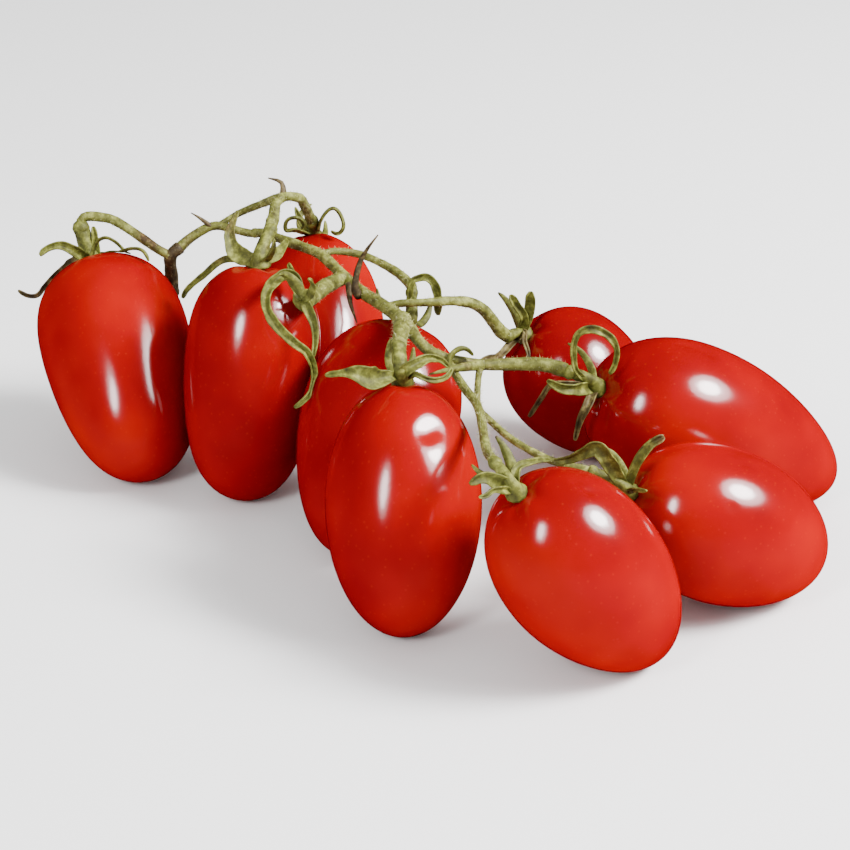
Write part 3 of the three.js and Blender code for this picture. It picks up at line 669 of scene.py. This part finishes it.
for index, fruit in enumerate(FRUITS):
    number = index + 1
    fruit_middle = resting_fruits[index][0]
    facing = stem_direction(fruit)
    base = calyx_base(fruit, fruit_middle)
    green = [hidden_sepal(base, facing, *row) for row in SEPALS[index]]
    dry = []
    for row_number, row in enumerate(SHAPED_SEPALS[index]):
        leaves = dry if row_number in DRY_SEPALS.get(number, ()) else green
        leaves.append(shaped_sepal(base, *row))
    leafy(f"calyx_{number}_sepals", green, calyx_green, "calyx", f"calyx_{number}")
    if dry:
        leafy(f"calyx_{number}_dry_sepals", dry, calyx_brown, "calyx", f"calyx_{number}")

    stalk_bm = bmesh.new()
    stalk_points, stalk_radius = FRUIT_STALKS[index]
    stalk = [base - facing * MM, *[place(p) for p in stalk_points]]
    stalk.append(stalk[-1] + (stalk[-1] - stalk[-2]).normalized() * KNUCKLE_RUN * MM)
    bent_rod(stalk_bm, stalk, lambda along: stalk_radius + FOOT_SWELL * math.exp(-(along / 0.18) ** 2), 0.5)
    knob(stalk_bm, stalk[2], stalk_radius + KNUCKLE_SWELL)
    finish_piece(mesh_object(f"calyx_{number}_stalk", stalk_bm), calyx_green, "calyx", f"calyx_{number}")

# The vine

vine_bm = bmesh.new()
dry_bm = bmesh.new()
for number, (points, first, last) in enumerate(VINE_STEMS):
    route = [place(p) for p in points]
    stem_bm = dry_bm if number in DRY_STEMS else vine_bm
    bent_rod(stem_bm, route, lambda along: first + (last - first) * along)
    knob(stem_bm, route[0], first * 1.15)
for number, (points, radius) in enumerate(VINE_TIPS):
    tip_bm = dry_bm if number in DRY_TIPS else vine_bm
    bent_rod(tip_bm, [place(p) for p in points], lambda along: radius * (1 - 0.85 * along))
empty_stalk = [place(p) for p in EMPTY_CALYX["stalk"]]
bent_rod(vine_bm, empty_stalk, lambda along: 1.7 + 0.9 * math.exp(-((1 - along) / 0.15) ** 2))
finish_piece(mesh_object("vine_stems", vine_bm), vine_green, "vine", "vine")
finish_piece(mesh_object("vine_dry_stems", dry_bm), vine_brown, "vine", "vine")

hair_bm = bmesh.new()
for number, (points, first, last) in enumerate(VINE_STEMS):
    fuzz(hair_bm, [place(p) for p in points], lambda along: first + (last - first) * along, number)
fuzz(hair_bm, empty_stalk, lambda along: 1.7, SEED)
finish_piece(mesh_object("vine_fuzz", hair_bm), fuzz_white, "vine")

empty_facing = Vector(EMPTY_CALYX["facing"]).normalized()
empty_leaves = [hidden_sepal(empty_stalk[-1], empty_facing, *row) for row in EMPTY_CALYX["back"]]
empty_leaves += [shaped_sepal(empty_stalk[-1], *row) for row in EMPTY_CALYX["shaped"]]
empty_leaves.append(shaped_sepal(place(FORK_LEAF_FOOT), *FORK_LEAF))
leafy("empty_calyx_sepals", empty_leaves, calyx_green, "vine", "vine")

# The floor, lights and camera

FLOOR_SIZE = 6.0
floor_bm = bmesh.new()
bmesh.ops.create_grid(floor_bm, x_segments=1, y_segments=1, size=FLOOR_SIZE / 2)
floor = mesh_object("floor", floor_bm)
paper, paper_tree, paper_bsdf = shader("paper")
paper_bsdf.inputs["Base Color"].default_value = (0.95, 0.95, 0.95, 1)
paper_bsdf.inputs["Roughness"].default_value = 0.9
floor.data.materials.append(paper)
floor.visible_glossy = False


def softbox(name, azimuth, elevation, distance, width, height, power):
    """An oval light that shines on the middle of the truss."""
    light = bpy.data.lights.new(name, "AREA")
    light.shape = "ELLIPSE"
    light.size = width
    light.size_y = height
    light.energy = power
    lamp = bpy.data.objects.new(name, light)
    turn = math.radians(azimuth)
    rise = math.radians(elevation)
    away = Vector((math.cos(turn) * math.cos(rise), math.sin(turn) * math.cos(rise), math.sin(rise)))
    lamp.location = away * distance
    lamp.rotation_euler = away.to_track_quat("Z", "Y").to_euler()
    bpy.context.scene.collection.objects.link(lamp)


softbox("key", -12, 44, 1.0, 0.32, 0.28, 18)
softbox("key_rim", -12, 44, 1.05, 0.64, 0.54, 15)
softbox("fill", -122, 37, 1.0, 0.16, 0.36, 4)
softbox("fill_rim", -122, 37, 1.05, 0.3, 0.6, 2)

world = bpy.data.worlds.new("studio")
world.use_nodes = True
world.node_tree.nodes["Background"].inputs["Color"].default_value = (1, 1, 1, 1)
world.node_tree.nodes["Background"].inputs["Strength"].default_value = 0.9
world.cycles_visibility.glossy = False
bpy.context.scene.world = world

CAMERA_DISTANCE = 0.5
CAMERA_ELEVATION = math.radians(27)
camera_data = bpy.data.cameras.new("camera")
camera_data.lens = 85
camera_data.sensor_width = 36
camera = bpy.data.objects.new("camera", camera_data)
target = place((0, 0, 0))
towards_viewer = Vector((0, -math.cos(CAMERA_ELEVATION), math.sin(CAMERA_ELEVATION)))
camera.location = target + towards_viewer * CAMERA_DISTANCE
camera.rotation_euler = (camera.location - target).to_track_quat("Z", "Y").to_euler()
bpy.context.scene.collection.objects.link(camera)
bpy.context.scene.camera = camera

bpy.context.view_layer.update()
